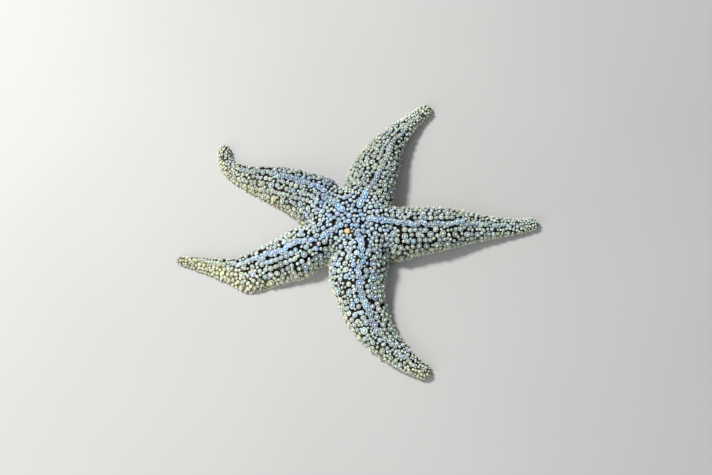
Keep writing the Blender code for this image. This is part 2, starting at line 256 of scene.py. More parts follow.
def crest_point(index, share):
    """Points of the crest from the disc's centre to the arm's root."""
    top, root = DISC_HEIGHT - SPINE_LENGTH, ROOT_HEIGHT - SPINE_LENGTH
    share = np.asarray(share, float)
    spot = CENTRE + compass(bearing(index)) * (DISC_APOTHEM * share)[..., None]
    return disc_point(spot, top + (root - top) * share**2)


disc_sizes = ROOT_HALF_WIDTH - SPINE_LENGTH, ROOT_HEIGHT - SPINE_LENGTH
disc_profile = [values[0] for values in half_section(*disc_sizes)]


def upper_kite(index):
    """The grid of points over the disc between two arms: a patch filled in from its four edges."""
    across, up = disc_profile[0][: ARCH_STEPS + 1], disc_profile[1][: ARCH_STEPS + 1]
    steps = np.linspace(0, 1, ARCH_STEPS + 1)
    near, far = crest_point(index, steps), crest_point(index + 1, steps)
    near_side, far_side = root_point(index, across, up), root_point(index + 1, -across, up)
    a, b = steps[:, None, None], steps[None, :, None]
    edges = (1 - b) * near[:, None] + b * far_side[:, None] + (1 - a) * far[None] + a * near_side[None]
    corners = (1 - a) * (1 - b) * near[0] + a * (1 - b) * near[-1]
    corners = corners + (1 - a) * b * far[-1] + a * b * near_side[-1]
    return edges - corners


def crossing(p, q, r, s):
    """Where the line through p and q crosses the line through r and s."""
    d, e, f = q - p, s - r, r - p
    return p + d * ((f[0] * e[1] - f[1] * e[0]) / (d[0] * e[1] - d[1] * e[0]))


def lower_kite(index):
    """The grid of points under the disc between two arms, from the groove's roof out to the widest place."""
    across, up, ridge = (values[ARCH_STEPS:][::-1] for values in disc_profile)
    starts = across / math.sin(SECTOR)
    starts[-1] = DISC_APOTHEM
    grid = np.zeros((len(across), len(across), 3))
    for i, row_across in enumerate(across):
        row_start = CENTRE + compass(bearing(index)) * starts[i]
        row_end = root_spot(index + 1, -row_across)
        for j, column_across in enumerate(across):
            column_start = CENTRE + compass(bearing(index + 1)) * starts[j]
            column_end = root_spot(index, column_across)
            spot = crossing(row_start, row_end, column_start, column_end)
            grid[i, j] = disc_point(spot, up[min(i, j)])
    order = np.minimum.outer(np.arange(len(across)), np.arange(len(across)))
    return grid, ridge[order]


# ---- meshes


def new_object(name, data):
    made = bpy.data.objects.new(name, data)
    bpy.context.scene.collection.objects.link(made)
    return made


def add_field(mesh, name, values):
    """Gives each point of a mesh one number under this name."""
    made = mesh.attributes.new(name, "FLOAT", "POINT")
    made.data.foreach_set("value", np.asarray(values, np.float32).ravel())


def write_mesh(name, points, corners, sizes, fields, uv=None):
    """Makes an object from arrays: faces are runs of corners, and a field has one number for each point."""
    mesh = bpy.data.meshes.new(name)
    mesh.vertices.add(len(points))
    mesh.vertices.foreach_set("co", np.asarray(points, np.float32).ravel())
    mesh.loops.add(len(corners))
    mesh.loops.foreach_set("vertex_index", np.asarray(corners, np.int32))
    mesh.polygons.add(len(sizes))
    mesh.polygons.foreach_set("loop_start", (np.cumsum(sizes) - sizes).astype(np.int32))
    mesh.update(calc_edges=True)
    for field_name, values in fields.items():
        add_field(mesh, field_name, values)
    if uv is not None:
        layer = mesh.uv_layers.new(name="OFBake")
        layer.data.foreach_set("uv", np.asarray(uv, np.float32)[corners].ravel())
    mesh.shade_smooth()
    return new_object(name, mesh)


def read(collection, name, width=1, kind=np.float32):
    values = np.zeros(len(collection) * width, kind)
    collection.foreach_get(name, values)
    return values.reshape(-1, width).astype(float if kind is np.float32 else int) if width > 1 else values


def read_field(mesh, name):
    return read(mesh.attributes[name].data, "value")


class Gathered:
    """Parts of a mesh, to be written as one."""

    def __init__(self):
        self.parts, self.count = [], 0

    def add(self, points, corners, sizes, uv, fields):
        self.parts.append((points, corners + self.count, sizes, uv, fields))
        self.count += len(points)

    def write(self, name):
        points, corners, sizes, uv, fields = zip(*self.parts)
        fields = {each: np.concatenate([one[each] for one in fields]) for each in fields[0]}
        corners, sizes = np.concatenate(corners), np.concatenate(sizes)
        return write_mesh(name, np.vstack(points), corners, sizes, fields, np.vstack(uv))


class Patches(Gathered):
    """Grids of points that together cover the body, each with its own tile of the flat map."""

    def add_grid(self, grid, left, low, width, height, **fields):
        rows, columns = shape = grid.shape[:2]
        point = np.arange(rows * columns).reshape(shape)
        quads = np.stack((point[:-1, :-1], point[1:, :-1], point[1:, 1:], point[:-1, 1:]), -1).ravel()
        u = left + width * np.linspace(0, 1, rows)[:, None]
        v = low + height * np.linspace(0, 1, columns)[None, :]
        uv = np.stack(np.broadcast_arrays(u, v), -1).reshape(-1, 2)
        fields = {name: np.broadcast_to(values, shape).ravel() for name, values in fields.items()}
        self.add(grid.reshape(-1, 3), quads, np.full(len(quads) // 4, 4), uv, fields)


def arm_patch(patches, index, side):
    """One half of an arm, from its crest to the middle of its groove, with its rounded end."""
    arm = arms[index]
    shares = np.linspace(0, 1 - CAP_SHARE, ARM_STATIONS + 1)
    across, up, ridge = half_section(arm.half_width(shares), arm.height(shares))
    start = shares[-1]
    turn = np.linspace(0, math.pi / 2, CAP_STATIONS + 1)[1:, None]
    middle = CAP_MIDDLE_SHARE * arm.height(shares[-1:])
    across = np.vstack([across, across[-1] * np.cos(turn)])
    up = np.vstack([up, middle + (up[-1] - middle) * np.cos(turn)])
    shares = np.concatenate([shares, start + CAP_SHARE * np.sin(turn[:, 0])])
    grid = arm.place(shares[:, None], side * across, up)
    length, half_width = ARM_TILE
    left, low = 0.02 + 0.5 * (index // 3), 0.01 + (index % 3) / 3 + half_width
    reach, coat = reach_of(shares[:, None]), arm.spine(shares)[:, None] / SPINE_LENGTH
    tile = left, low, length, half_width * side
    patches.add_grid(grid, *tile, ridge=ridge[0], reach=reach, coat=coat, arm=index)


def disc_patches(patches, index):
    """The disc between two arms, above and below."""
    left = 0.505 + DISC_TILE_STEP * index
    steps = np.linspace(0, 1, ARCH_STEPS + 1)
    ridge, reach = np.minimum.outer(steps, steps), DISC_REACH * np.maximum.outer(steps, steps)
    tile = left, 0.68, DISC_TILE, DISC_TILE
    patches.add_grid(upper_kite(index), *tile, ridge=ridge, reach=reach, coat=1.0, arm=index)
    grid, ridge = lower_kite(index)
    tile = left, 0.79, DISC_TILE, DISC_TILE
    patches.add_grid(grid, *tile, ridge=ridge, reach=DISC_REACH / 2, coat=1.0, arm=index)


def ripples(points, wave, seed):
    """A smooth random number between about -1 and 1 for each point, that changes over that length."""
    own, waves = np.random.default_rng(seed), 14
    ways = unit(own.normal(size=(waves, 3))) * math.tau / wave * own.uniform(0.6, 1.5, (waves, 1))
    return np.sin(points @ ways.T + own.uniform(0, math.tau, waves)).sum(-1) / 4


def smooth_points(points, edges, times):
    """Moves each point towards the middle of its neighbours and back out, some times over.

    Kinks go, and thin ends keep their size.
    """
    counts = np.bincount(edges.ravel(), minlength=len(points))[:, None]
    for step in SMOOTHING * times:
        middles = np.zeros_like(points)
        np.add.at(middles, edges[:, 0], points[edges[:, 1]])
        np.add.at(middles, edges[:, 1], points[edges[:, 0]])
        points = points + (middles / counts - points) * step
    return points


def make_skin(material):
    """The whole skin, closed, and set in from the solids by the depth of what grows on it."""
    patches = Patches()
    for index in range(ARM_COUNT):
        disc_patches(patches, index)
        arm_patch(patches, index, 1)
        arm_patch(patches, index, -1)
    skin = patches.write("star_skin")
    form = bmesh.new()
    form.from_mesh(skin.data)
    bmesh.ops.remove_doubles(form, verts=form.verts, dist=2e-6)
    bmesh.ops.recalc_face_normals(form, faces=form.faces)
    open_edges = sum(not edge.is_manifold for edge in form.edges)
    form.to_mesh(skin.data)
    form.free()
    assert not open_edges, f"the skin has {open_edges} open edges"
    mesh = skin.data
    points, edges = read(mesh.vertices, "co", 3), read(mesh.edges, "vertices", 2, np.int32)
    points = smooth_points(points, edges, SMOOTHINGS)
    mesh.vertices.foreach_set("co", points.astype(np.float32).ravel())
    mesh.update()
    ridge, reach, arm = (read_field(mesh, name) for name in ("ridge", "reach", "arm"))
    # The skin is set in further on the flats, and less far again in the groove.
    depth = SKIN_DEPTH + (UNDER_DEPTH - SKIN_DEPTH) * ease(ridge, 1.1, 0.25) * ease((3.1 - ridge) / 0.8)
    depth += RIPPLE_DEPTH * ripples(points, RIPPLE_LENGTH, 5) * (ridge < 2.2)
    normals = read(mesh.vertices, "normal", 3)
    points -= normals * depth[:, None]
    mesh.vertices.foreach_set("co", points.astype(np.float32).ravel())
    # The skin's cream field also carries the painted light on the -Y flanks of the outer arms.
    marks = markings(Roots(spot=points, normal=normals, ridge=ridge, reach=reach, arm=arm.astype(int)), 1.0)
    add_field(mesh, "cream", marks["cream"])
    mesh.materials.append(material)
    mesh.update()
    return skin


# ---- places on the skin


class Roots:
    """Places on the skin where things grow: arrays of equal length, by name."""

    def __init__(self, **arrays):
        self.__dict__.update(arrays)

    def __len__(self):
        return len(self.spot)

    def pick(self, which):
        return Roots(**{name: values[which] for name, values in vars(self).items()})


def join(several):
    names = vars(several[0])
    return Roots(**{name: np.concatenate([vars(roots)[name] for roots in several]) for name in names})


class Ground:
    """The finished skin as arrays, for rooting things on it."""

    def __init__(self, skin):
        mesh = skin.data
        mesh.calc_loop_triangles()
        self.points = read(mesh.vertices, "co", 3)
        self.normals = read(mesh.vertices, "normal", 3)
        self.corners = read(mesh.loop_triangles, "vertices", 3, np.int32)
        self.loops = read(mesh.loop_triangles, "loops", 3, np.int32)
        self.uv = read(mesh.uv_layers["OFBake"].data, "uv", 2)
        self.fields = {name: read_field(mesh, name) for name in FIELDS}
        self.tree = BVHTree.FromPolygons(self.points.tolist(), self.corners.tolist())
        a, b, c = (self.points[self.corners[:, k]] for k in range(3))
        self.areas = np.linalg.norm(np.cross(b - a, c - a), axis=1) / 2

    def roots(self, triangles, weights):
        """Roots at those shares of the corners of those triangles."""
        corners, weights = self.corners[triangles], weights[..., None]
        fields = {name: (values[corners] * weights[..., 0]).sum(1) for name, values in self.fields.items()}
        fields["arm"] = np.round(self.fields["arm"][corners[:, 0]]).astype(int)
        spot = (self.points[corners] * weights).sum(1)
        normal = unit((self.normals[corners] * weights).sum(1))
        uv = (self.uv[self.loops[triangles]] * weights).sum(1)
        return Roots(spot=spot, normal=normal, uv=uv, **fields)

    def nearest(self, spots):
        """Roots at the points of the skin nearest to these spots."""
        found = [self.tree.find_nearest(Vector(spot)) for spot in spots]
        triangles = np.array([hit[2] for hit in found])
        p = np.array([hit[0][:] for hit in found])
        a, b, c = (self.points[self.corners[triangles, k]] for k in range(3))
        u, v, w = b - a, c - a, p - a
        uu, uv, vv, wu, wv = ((x * y).sum(1) for x, y in ((u, u), (u, v), (v, v), (w, u), (w, v)))
        scale = np.maximum(uu * vv - uv * uv, 1e-20)
        second, third = (vv * wu - uv * wv) / scale, (uu * wv - uv * wu) / scale
        return self.roots(triangles, np.clip(np.stack([1 - second - third, second, third], -1), 0, 1))

    def scatter(self, count, low, high):
        """Random roots, even over the skin, between two ridge numbers."""
        middle = self.fields["ridge"][self.corners].mean(1)
        share = self.areas * ((middle > low) & (middle < high))
        triangles = chance.choice(len(share), count, p=share / share.sum())
        first, second = np.sqrt(chance.random(count)), chance.random(count)
        return self.roots(triangles, np.stack([1 - first, first * (1 - second), first * second], -1))


class Crowd:
    """The places taken so far, so that neighbours don't grow into each other."""

    CELL = 0.007

    def __init__(self):
        self.cells = {}

    def sort_in(self, spots, radii):
        """Each spot's cell, the spot and its radius."""
        return zip(np.floor(spots / self.CELL).astype(int).tolist(), spots.tolist(), radii)

    def keep_clear(self, spots, radii):
        """Takes the room round these spots, whatever is there already."""
        for cell, spot, radius in self.sort_in(spots, radii):
            self.cells.setdefault(tuple(cell), []).append((*spot, radius))

    def settle(self, roots, radii, closeness=1.0):
        """Takes each place that is free, in turn, and returns which were."""
        free = np.zeros(len(roots), bool)
        around = [(i, j, k) for i in (-1, 0, 1) for j in (-1, 0, 1) for k in (-1, 0, 1)]
        for number, ((i, j, k), (x, y, z), radius) in enumerate(self.sort_in(roots.spot, radii)):
            cells = (self.cells.get((i + di, j + dj, k + dk), ()) for di, dj, dk in around)
            for ox, oy, oz, other in (taken for cell in cells for taken in cell):
                room = closeness * (radius + other)
                if (x - ox) ** 2 + (y - oy) ** 2 + (z - oz) ** 2 < room * room:
                    break
            else:
                free[number] = True
                self.cells.setdefault((i, j, k), []).append((x, y, z, radius))
        return free


# ---- small things, turned and stamped


def turned_faces(bands, sides):
    """Corners and sizes of a turned shape's faces: bands of quads, then a fan to the point on top."""
    band, side = np.arange(bands)[:, None] * sides, np.arange(sides)
    after = (side + 1) % sides
    quads = np.stack([band + side, band + after, band + sides + after, band + sides + side], -1)
    last = bands * sides
    fan = np.stack([last + side, last + after, np.full(sides, last + sides)], -1)
    return np.concatenate([quads.ravel(), fan.ravel()]), np.repeat([4, 3], [last, sides])


class Turned:
    """A small turned shape standing on the skin, from rings of (radius, height, zone), the last a point.

    As many rings as knobbed says, after the first, bulge in and out by the share knobs.
    """

    def __init__(self, rings, sides, knobs, knobbed, seed):
        lumps = np.random.default_rng(seed).normal(0, 0.02, (len(rings) - 1, sides))
        turn, number = np.arange(sides) * math.tau / sides, np.arange(len(rings) - 1)[:, None]
        bulging = (number > 0) & (number <= knobbed)
        lump = 1 + lumps + knobs * bulging * np.where((np.arange(sides) + number) % 2, 1, -1)
        radius, height, zone = np.array(rings)[:-1].T[..., None]
        points = np.stack([radius * lump * np.cos(turn), radius * lump * np.sin(turn), height * lump], -1)
        self.points = np.vstack([points.reshape(-1, 3), (0, 0, rings[-1][1])])
        self.zones = np.append(np.repeat(zone, sides), rings[-1][2])
        self.corners, self.sizes = turned_faces(len(rings) - 2, sides)


class Growth(Gathered):
    """Many stamped shapes."""

    MAP_RADIUS = 0.0015
    ASKEW = (0.31, 0.52, 0.79)  # no root's normal lies along it
    LEAN_CHANCE, STRETCH = 0.6, (0.86, 1.16)

    def stamp(self, shapes, roots, width, height, lean=0.1, toward=None, **fields):
        """Sets one of the shapes on each root, this wide and high, leaning at random or toward a way."""
        count = len(roots)
        up = unit(roots.normal + lean * chance.normal(size=(count, 3)) * self.LEAN_CHANCE)
        if toward is not None:
            up = unit(up + toward)
        side = unit(np.cross(up, self.ASKEW))
        other = np.cross(up, side)
        spin = chance.uniform(0, math.tau, count)[:, None]
        side, other = side * np.cos(spin) + other * np.sin(spin), other * np.cos(spin) - side * np.sin(spin)
        which = chance.integers(len(shapes), size=count)
        for number, shape in enumerate(shapes):
            mine = np.flatnonzero(which == number)
            x, y, z = shape.points.T
            wide, high = width[mine, None, None] / 2, height[mine, None, None]
            drawn = chance.uniform(*self.STRETCH, len(mine))[:, None, None]
            flat = side[mine, None] * x[None, :, None] * drawn + other[mine, None] * y[None, :, None] / drawn
            points = roots.spot[mine, None] + flat * wide + up[mine, None] * z[None, :, None] * high
            points[..., 2] = np.maximum(points[..., 2], 0)
            each = len(shape.points)
            corners = (np.arange(len(mine))[:, None] * each + shape.corners).ravel()
            uv = (roots.uv[mine, None] + self.MAP_RADIUS * shape.points[None, :, :2]).reshape(-1, 2)
            own = dict(zone=np.tile(shape.zones, len(mine)), seed=np.repeat(chance.random(len(mine)), each))
            own |= {name: np.repeat(values[mine], each) for name, values in fields.items()}
            self.add(points.reshape(-1, 3), corners, np.tile(shape.sizes, len(mine)), uv, own)

    def finish(self, name, material, slot):
        made = self.write(name)
        made.data.materials.append(material)
        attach(made, "root")
        return made


def turned(rings, sides, seeds, knobs=0, knobbed=0):
    """The same rings with each of these seeds."""
    return [Turned(rings, sides, knobs, knobbed, seed) for seed in seeds]


# For the shapes coloured by beadwork: zones near 0 at the foot are painted dark, as painted shade where the
# shape meets the skin. Zones near 1 on top are painted white, partly the spine's own pale tip and partly a
# painted highlight.
spine_shapes = turned((
    (0.84, -0.20, 0.00), (1.00, 0.12, 0.06), (1.03, 0.32, 0.16), (0.96, 0.50, 0.28), (0.82, 0.58, 0.38),
    (0.70, 0.54, 0.46), (0.58, 0.38, 0.54), (0.38, 0.35, 0.62), (0.28, 0.60, 0.70), (0.30, 0.82, 0.78),
    (0.27, 0.93, 0.87), (0.16, 0.99, 0.95), (0.00, 1.00, 1.00),
), 20, (1, 2, 3), 0.05, 5)  # fmt: skip
young_shapes = turned((
    (0.80, -0.20, 0.00), (1.00, 0.14, 0.08), (1.03, 0.38, 0.20), (0.92, 0.58, 0.32), (0.76, 0.64, 0.44),
    (0.60, 0.58, 0.53), (0.41, 0.54, 0.62), (0.32, 0.76, 0.72), (0.26, 0.92, 0.86), (0.00, 1.00, 1.00),
), 12, (4, 5, 6), 0.07, 4)  # fmt: skip
bead_shapes = turned((
    (0.74, -0.20, 0.05), (1.00, 0.26, 0.18), (0.96, 0.60, 0.34), (0.66, 0.90, 0.50), (0.34, 0.98, 0.76),
    (0.00, 1.00, 0.95),
), 9, (7, 8))  # fmt: skip
speck_shapes = turned((
    (0.80, -0.25, 0.10), (1.00, 0.45, 0.45), (0.60, 0.88, 0.80), (0.00, 1.00, 1.00),
), 6, (9,))  # fmt: skip
peg_shapes = turned((
    (0.80, -0.20, 0.15), (0.92, 0.15, 0.30), (0.84, 0.50, 0.55), (0.92, 0.78, 0.80), (0.66, 0.95, 0.92),
    (0.00, 1.00, 1.00),
), 8, (10, 11))  # fmt: skip
foot_shapes = turned((
    (0.62, -0.06, 0.05), (0.70, 0.08, 0.15), (0.52, 0.25, 0.28), (0.56, 0.45, 0.42), (0.46, 0.65, 0.56),
    (0.50, 0.80, 0.66), (0.74, 0.88, 0.76), (1.00, 0.94, 0.88), (0.92, 0.99, 0.95), (0.50, 0.96, 1.00),
    (0.00, 0.94, 1.00),
), 10, (12, 13))  # fmt: skip

# Widths and distances over the skin, in metres, where the arm is thick.
CREST_STEP, CREST_WIDTH = 0.0041, 0.0058
CREST_JITTER, ROW_JITTER = 0.0009, 0.00035  # out of line
CREST_PACE, ROW_PACE = (0.90, 1.12), (0.88, 1.14)  # how uneven the steps are
ROW_SPACING = 0.0048
FLANK_ROWS, MIDDLING_STEP = range(1, 9), 0.0045
EYE_ROWS, EYE_STEP = (2, 4, 6), 0.0105
EYE_SHARE, EYE_END = 0.85, 0.85  # how many of them grow, and the reach at which they end
CREST_END = 0.90  # share of an arm
NOTCHES, NOTCH_SHARE = (0.46, 0.66), 0.6  # how far out beside a crest, in its steps, and how many are filled
TIP_FROM = 0.87  # reach at which the tip's own small spines begin
TIP_EXTRA = 0.0005  # how much wider they are at first
SMALL_POWER = 0.7  # small things slim less than the wreaths of the crests
RING_RADIUS = 0.0130  # of the ring on the disc where the crests begin

# The kinds of things that grow: least and greatest width, how near neighbours may come, where at 1 they
# touch, and how blue they are.
Kind = namedtuple("Kind", "least greatest closeness bluest")
CREST = Kind(0.80 * CREST_WIDTH, 1.02 * CREST_WIDTH, 0.58, 1.1)
BRAID = Kind(0.0022, 0.0033, 0.62, 1.0)
EYE = Kind(0.0050, 0.0063, 0.86, 1.1)
MIDDLING = Kind(0.0038, 0.0051, 0.86, 0.60)
TIP = Kind(0.0021, 0.0028, 1.02, 0.5)
MOSAIC = Kind(0.0030, 0.0048, 0.96, 0.9)
BEAD = Kind(0.0020, 0.0034, 0.83, 0.45)
SPECK = Kind(0.0006, 0.0010, 1.0, 0.30)

# Bare places, and how the arms differ, in the order of ARMS.
CHANNELS = (0.0009, 0.0004, 0.0008, 0.0008, 0.0004)  # bare width beside each arm's crest
ARM_SIZE = (0.95, 0.93, 0.90, 0.97, 1.00)  # how large each arm's spines are
OUTER_SIZE = (1.0, 1.0, 0.95, 0.86, 1.0)  # and how much of that is left on its outer part
BARE_PATCHES = ((1, 1), (2, -1), (6, 1), (9, -1))  # wreaths along a crest, and its side
PATCH_OFFSET, PATCH_RADIUS = 0.0054, 0.0007
GAP_SPACING, GAP_RADII = 0.0032, (0.0001, 0.0006)

# How many places are tried at random.
TIP_TRIES, DISC_TRIES, GAP_TRIES, BEAD_TRIES, SPECK_TRIES = 40000, 9000, 6000, 20000, 3500

LAST_RIDGE = 1.06  # where the beads end and the fringe begins
PLATE_RADIUS, PLATE_HEIGHT, FURROW_DEPTH = 0.0024, 0.0013, 0.00010  # of the madreporite


def slimming(reach, coat):
    """How much smaller spines get towards the tip of an arm."""
    return (1 - 0.48 * ease(reach, 0.52, 0.45)) * np.clip(0.7 + 0.3 * coat, 0.7, 1)


def own_size(arm, reach):
    """How large spines are on each arm, even over the disc."""
    inner, outer = np.array(ARM_SIZE)[arm], np.array(OUTER_SIZE)[arm]
    return (1 + (inner - 1) * ease(reach, 0.15, 0.1)) * (1 + (outer - 1) * ease(reach, 0.5, 0.15))


def size_at(index, place, power=1):
    """How large things are at one place of an arm."""
    small = slimming(reach_of(place), arms[index].spine(place) / SPINE_LENGTH)[0] ** power
    return small * own_size(index, reach_of(place[0]))


def crest_spots(index):
    """Spots along the crest of an arm, from the ring on the disc to its tip, a wreath apart."""
    arm = arms[index]
    share, spots = (RING_RADIUS - DISC_APOTHEM) / arm.length, []
    while share < CREST_END:
        place = np.array([share])
        if share < 0:
            spots.append(crest_point(index, 1 + share * arm.length / DISC_APOTHEM))
        else:
            spots.append(arm.place(place, chance.normal(0, CREST_JITTER, 1), arm.height(place))[0])
        loose = 1 + 0.12 * ease(share, 0.3, 0.3)
        share += CREST_STEP * size_at(index, place) * loose * chance.uniform(*CREST_PACE) / arm.length
    return np.array(spots)


def flank_spots(index, row, side, step):
    """Spots in one row along one flank of an arm, a little out of line."""
    arm = arms[index]
    spots = []
    turns = np.linspace(0, math.pi / 2, 60)
    share = 0.004 + chance.uniform(0, step) / arm.length
    while share < 1 - CAP_SHARE / 2:
        place = np.array([share])
        half_width, height = arm.half_width(place), arm.height(place)
        small = size_at(index, place, SMALL_POWER)
        across, up = arch(half_width, height, turns)
        lengths = np.concatenate([[0], np.cumsum(np.hypot(np.diff(across), np.diff(up)))])
        channel = CHANNELS[index] * (1 - 0.6 * ease(share, 0.3, 0.35))
        out = ROW_SPACING * small * (row + 0.02) + channel + chance.normal(0, ROW_JITTER)
        if out < lengths[-1]:
            across, up = arch(half_width, height, np.interp(out, lengths, turns))
            spots.append(arm.place(place, side * across, up)[0])
        share += step * small * chance.uniform(*ROW_PACE) / arm.length
    return spots


PALE_FROM = (0.80, 0.70, 0.74, 0.60, 0.80)  # reach at which each arm turns pale
TIP_CREAM = (0.15, 0.42, 0.30, 0.60, 0.45)  # how cream its tip is
PAINTED_LIGHT_SIDE = (0.0, 0.15, 0.60, 0.55, 0.3)  # painted light: how much creamier and lighter its outer part is painted on its -Y side
ARM_TONE = (1.03, 0.84, 0.86, 1.18, 1.07)  # how light it is
TIP_TONE = (1.36, 1.32, 1.11, 1.02, 1.22)  # and how light its tip is
FLANK_BLUE = (0.57, 0.40, 0.90, 0.75, 0.95)  # how blue it is beside the crest
FRINGE_CREAM = (0.55, 0.55, 0.9, 1.0, 0.7)  # how cream its fringe is
DISC_TONE = 1.12
MARKING_CHANCE = 0.17  # how much neighbours differ


def markings(roots, bluest):
    """Blue, cream and tone of the things on these roots.

    They are blue along the crests and on the disc, and cream at the margins and tips. On the outer part,
    flanks that face -Y carry painted light: they are painted creamier and lighter.
    """
    count = len(roots)
    of_arms = np.array((PALE_FROM, TIP_CREAM, PAINTED_LIGHT_SIDE, FLANK_BLUE, ARM_TONE, TIP_TONE))
    start, creaminess, shade, blueness, arm_tone, tip_tone = of_arms[:, roots.arm]
    edge = ease(roots.ridge, 0.62, 0.45)  # how near the margin
    tip = ease((roots.reach - start) / 0.28)  # how near the tip
    # Painted light: the outer part's flanks that face -Y are painted creamier and lighter, as if lit.
    painted_light_side = shade * ease(roots.reach, 0.4, 0.3) * ease((0.1 - roots.normal[:, 1]) / 0.5)
    cream = 0.80 * edge + creaminess * tip + painted_light_side + chance.normal(0, MARKING_CHANCE, count)
    differing = MARKING_CHANCE * (1 - 0.3 * ease(roots.reach, 0.4, 0.2) - 0.3 * tip)
    disc = 1 - ease(roots.reach, 0.12, 0.45)
    # How near the crest, and how blue the flanks are on the arm's inner part.
    ridge = (1 - ease(roots.ridge, 0.02, 0.6)) * (1 - 0.7 * ease(roots.reach, 0.42, 0.3))
    own = 1 + (blueness - 1) * ease(roots.reach, 0.1, 0.1) * (1 - ease(roots.reach, 0.45, 0.2))
    blue = bluest * (0.20 * own + 0.20 * (1 + own) * ridge) + 0.22 * own * disc
    blue = blue * (1 - 0.8 * tip) * (1 - 0.5 * edge) + chance.normal(0, differing, count)
    tone = DISC_TONE + (arm_tone - DISC_TONE) * ease(roots.reach, 0.1, 0.2)
    tone = tone + (tip_tone - tone) * ease(roots.reach, 0.62, 0.3)
    return dict(blue=np.clip(blue, 0, 1), cream=np.clip(cream, 0, 1), tone=tone)


# ---- materials


def new_material(name):
    made = bpy.data.materials.new(name)
    made.use_nodes = True
    return made, made.node_tree, made.node_tree.nodes["Principled BSDF"]


def set_inputs(node, values):
    for name, value in values.items():
        node.inputs[name].default_value = value


def field(tree, name):
    node = tree.nodes.new("ShaderNodeAttribute")
    node.attribute_name = name
    return node.outputs["Fac"]


def noise(tree, scale, detail=3.0, roughness=0.55, distortion=0.0):
    """Noise in the model's own coordinates: scale is waves per metre."""
    place = tree.nodes.new("ShaderNodeTexCoord")
    node = tree.nodes.new("ShaderNodeTexNoise")
    set_inputs(node, {"Scale": scale, "Detail": detail, "Roughness": roughness, "Distortion": distortion})
    tree.links.new(place.outputs["Object"], node.inputs["Vector"])
    return node.outputs["Fac"]


def ramp(tree, value, stops):
    node = tree.nodes.new("ShaderNodeValToRGB")
    while len(node.color_ramp.elements) < len(stops):
        node.color_ramp.elements.new(0.5)
    for element, (place, colour) in zip(node.color_ramp.elements, stops):
        element.position = place
        element.color = (*colour, 1) if isinstance(colour, tuple) else (colour, colour, colour, 1)
    tree.links.new(value, node.inputs["Fac"])
    return node.outputs["Color"]


def feed(tree, sockets, values):
    """Sets each socket to a number or links it."""
    for socket, value in zip(sockets, values):
        if isinstance(value, bpy.types.NodeSocket):
            tree.links.new(value, socket)
        else:
            socket.default_value = value


def mix(tree, share, first, second, blend="MIX"):
    node = tree.nodes.new("ShaderNodeMix")
    node.data_type, node.blend_type = "RGBA", blend
    feed(tree, (node.inputs[0], node.inputs[6], node.inputs[7]), (share, first, second))
    return node.outputs[2]


def maths(tree, operation, *values):
    node = tree.nodes.new("ShaderNodeMath")
    node.operation = operation
    feed(tree, node.inputs, values)
    return node.outputs[0]


def spread(tree, value, low, high, to_low=0.0, to_high=1.0):
    node = tree.nodes.new("ShaderNodeMapRange")
    tree.links.new(value, node.inputs["Value"])
    set_inputs(node, {"From Min": low, "From Max": high, "To Min": to_low, "To Max": to_high})
    return node.outputs["Result"]


def uneven_roughness(tree, shader, scale, low, high):
    tree.links.new(spread(tree, noise(tree, scale), 0.3, 0.7, low, high), shader.inputs["Roughness"])


def bump(tree, shader, height, depth):
    node = tree.nodes.new("ShaderNodeBump")
    set_inputs(node, {"Distance": depth, "Strength": 1.0})
    tree.links.new(height, node.inputs["Height"])
    tree.links.new(node.outputs["Normal"], shader.inputs["Normal"])


def new_group(name, inputs, output, kind):
    """A node group, the outputs of its input node, and the socket that its one output takes."""
    group = bpy.data.node_groups.new(name, "ShaderNodeTree")
    for socket in inputs:
        group.interface.new_socket(name=socket, in_out="INPUT", socket_type="NodeSocketFloat")
    group.interface.new_socket(name=output, in_out="OUTPUT", socket_type=kind)
    inward, outward = group.nodes.new("NodeGroupInput"), group.nodes.new("NodeGroupOutput")
    return group, inward.outputs, outward.inputs[output]


BEADWORK_INPUTS = ("Zone", "Blue", "Cream", "Seed", "Tone")


